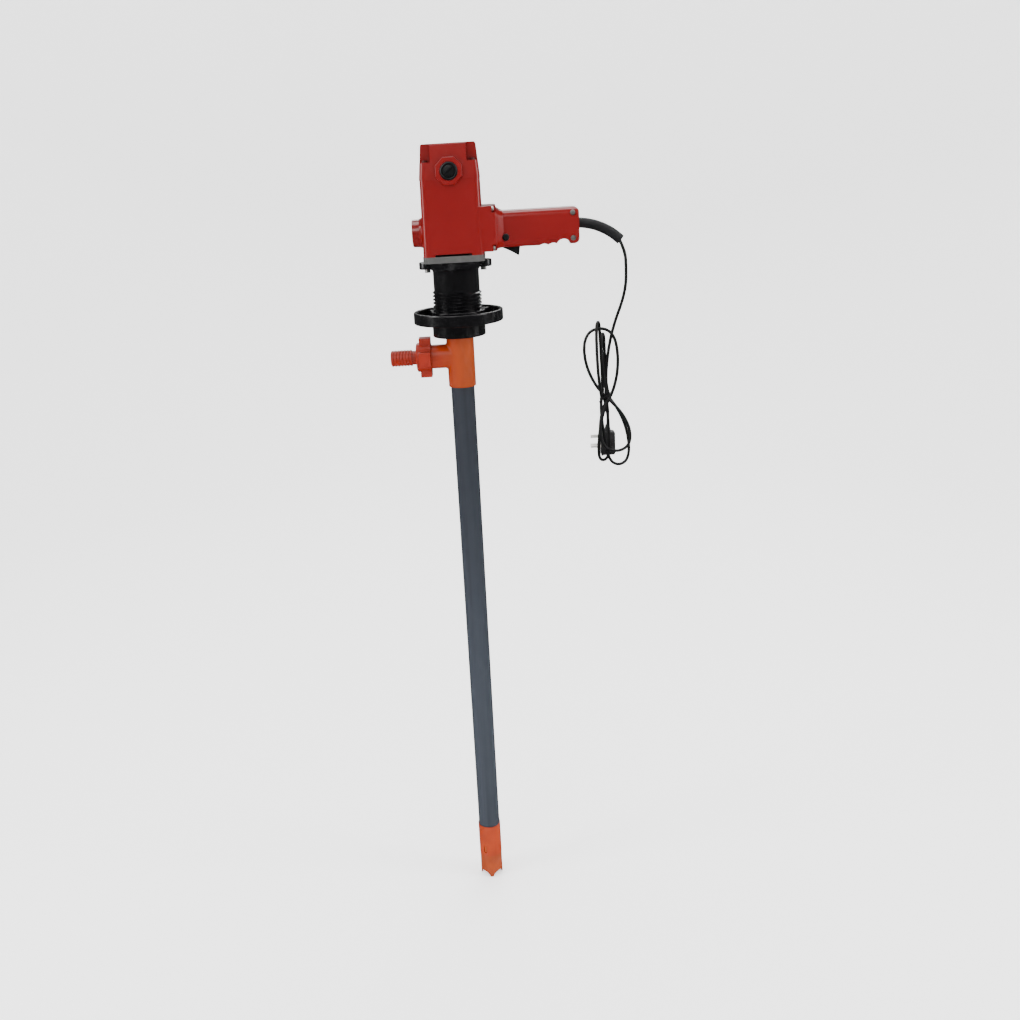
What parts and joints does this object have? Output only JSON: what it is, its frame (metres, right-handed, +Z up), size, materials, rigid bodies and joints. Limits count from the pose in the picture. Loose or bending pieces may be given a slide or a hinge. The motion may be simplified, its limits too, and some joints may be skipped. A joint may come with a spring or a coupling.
{
  "type": "drum barrel pump",
  "caption": "Electric drum pump: boxy hand-held motor with side handle and trigger, handwheel-clamped to a long immersion tube with a side hose tail and a toothed suction foot.",
  "frame": {"origin": "on the immersion tube's axis at the discharge tee's lower face, where the pump is held over the drum's bung", "axes": "+Z up along the tube towards the motor, +X along the handle, -X along the discharge branch"},
  "size_m": [0.428, 0.157, 1.446],
  "materials": {
    "red_paint": "glossy enamel",
    "black_plastic": "glossy moulded",
    "matt_black_plastic": "fine matt",
    "cast_aluminium": "as cast",
    "orange_plastic": "moulded polypropylene",
    "red_orange_plastic": "moulded polypropylene",
    "grey_plastic": "extruded polypropylene",
    "steel": "ground",
    "zinc_steel": "zinc plated",
    "rubber": "moulded",
    "cord_rubber": "smooth sheath",
    "copper_winding": "varnished wire",
    "copper": "turned",
    "brass": "turned",
    "laminations": "stacked sheet",
    "carbon": "graphite block",
    "white_plastic": "low-friction bush",
    "plug_plastic": "moulded plug with pins"
  },
  "bodies": {
    "pump": {"adapter_barrel": "black_plastic", "adapter_bolts": "steel", "bearing_plate": "cast_aluminium", "branch_gasket": "rubber", "brush_caps": "matt_black_plastic", "brush_holders": "brass", "brush_spring_back": "steel", "brush_spring_front": "steel", "cap_screws": "zinc_steel", "cord_clamp": "matt_black_plastic", "cord_hank": "cord_rubber", "cord_lead": "cord_rubber", "cord_sleeve": "rubber", "cord_tie": "zinc_steel", "field_coils": "copper_winding", "foot_guide": "white_plastic", "foot_housing": "orange_plastic", "foot_strainer": "orange_plastic", "handle_back": "red_paint", "handle_front": "red_paint", "handle_screws": "zinc_steel", "inner_tube": "grey_plastic", "inner_wiring": "cord_rubber", "lock_spring": "steel", "motor_bearing": "steel", "motor_housing": "red_paint", "outer_tube": "grey_plastic", "plate_screws": "zinc_steel", "plug": "plug_plastic", "pump_bearing": "steel", "pump_tee": "orange_plastic", "rear_cap": "red_paint", "seal_carrier": "matt_black_plastic", "shaft_bushes": "white_plastic", "shaft_seal": "rubber", "stator_core": "laminations", "switch_body": "matt_black_plastic", "top_bearing": "steel", "trigger_pin": "steel", "trigger_spring": "steel"},
    "rotor": {"drive_shaft": "steel", "impeller": "white_plastic", "impeller_nut": "steel", "coupling_upper": "steel", "coupling_lower": "steel", "coupling_spider": "rubber", "motor_spindle": "steel", "rotor_core": "laminations", "rotor_winding": "copper_winding", "commutator": "copper", "cooling_fan": "matt_black_plastic"},
    "washer": {"slip_washer": "white_plastic"},
    "handwheel": {"handwheel_nut": "black_plastic"},
    "tail": {"hose_tail": "red_orange_plastic"},
    "union": {"union_nut": "red_orange_plastic"},
    "trigger": {"trigger": "matt_black_plastic"},
    "plunger": {"switch_plunger": "white_plastic"},
    "lock": {"lock_button": "matt_black_plastic"},
    "brush_front": {"carbon_brush_front": "carbon"},
    "brush_back": {"carbon_brush_back": "carbon"}
  },
  "joints": [
    {"name": "motor_spin", "type": "hinge", "parent": "pump", "child": "rotor", "pos_m": [0, 0, 0.147], "axis": [0, 0, 1], "continuous": true},
    {"name": "handwheel_travel", "type": "slide", "parent": "pump", "child": "washer", "axis": [0, 0, -1], "range_m": [0, 0.012]},
    {"name": "handwheel_turn", "type": "hinge", "parent": "washer", "child": "handwheel", "pos_m": [0, 0, 0.1145], "axis": [0, 0, -1], "range_deg": [0, 720]},
    {"name": "tail_travel", "type": "slide", "parent": "pump", "child": "tail", "axis": [-1, 0, 0], "range_m": [0, 0.008]},
    {"name": "union_turn", "type": "hinge", "parent": "tail", "child": "union", "pos_m": [-0.06, 0, 0.0542], "axis": [-1, 0, 0], "range_deg": [0, 960]},
    {"name": "trigger_pull", "type": "hinge", "parent": "pump", "child": "trigger", "pos_m": [0.0855, 0, 0.2445], "axis": [0, -1, 0], "range_deg": [0, 12], "stiffness_Nm_per_rad": 0.6, "springref_deg": -6.88},
    {"name": "switch_press", "type": "slide", "parent": "pump", "child": "plunger", "axis": [0, 0, 1], "range_m": [0, 0.0043], "deforming": ["trigger_spring"]},
    {"name": "lock_press", "type": "slide", "parent": "pump", "child": "lock", "axis": [0, 1, 0], "range_m": [0, 0.003], "stiffness_N_per_m": 180, "deforming": ["lock_spring"]},
    {"name": "front_brush_slide", "type": "slide", "parent": "pump", "child": "brush_front", "axis": [0, -1, 0], "range_m": [0, 0.0045], "stiffness_N_per_m": 60, "deforming": ["brush_spring_front"]},
    {"name": "back_brush_slide", "type": "slide", "parent": "pump", "child": "brush_back", "axis": [0, 1, 0], "range_m": [0, 0.0045], "stiffness_N_per_m": 60, "deforming": ["brush_spring_back"]}
  ],
  "couplings": [
    {"joint": "handwheel_travel", "follows": "handwheel_turn", "m_per_rad": 0.00095493},
    {"joint": "tail_travel", "follows": "union_turn", "m_per_rad": 0.00047746},
    {"joint": "switch_press", "follows": "trigger_pull", "m_per_rad": 0.0202}
  ]
}
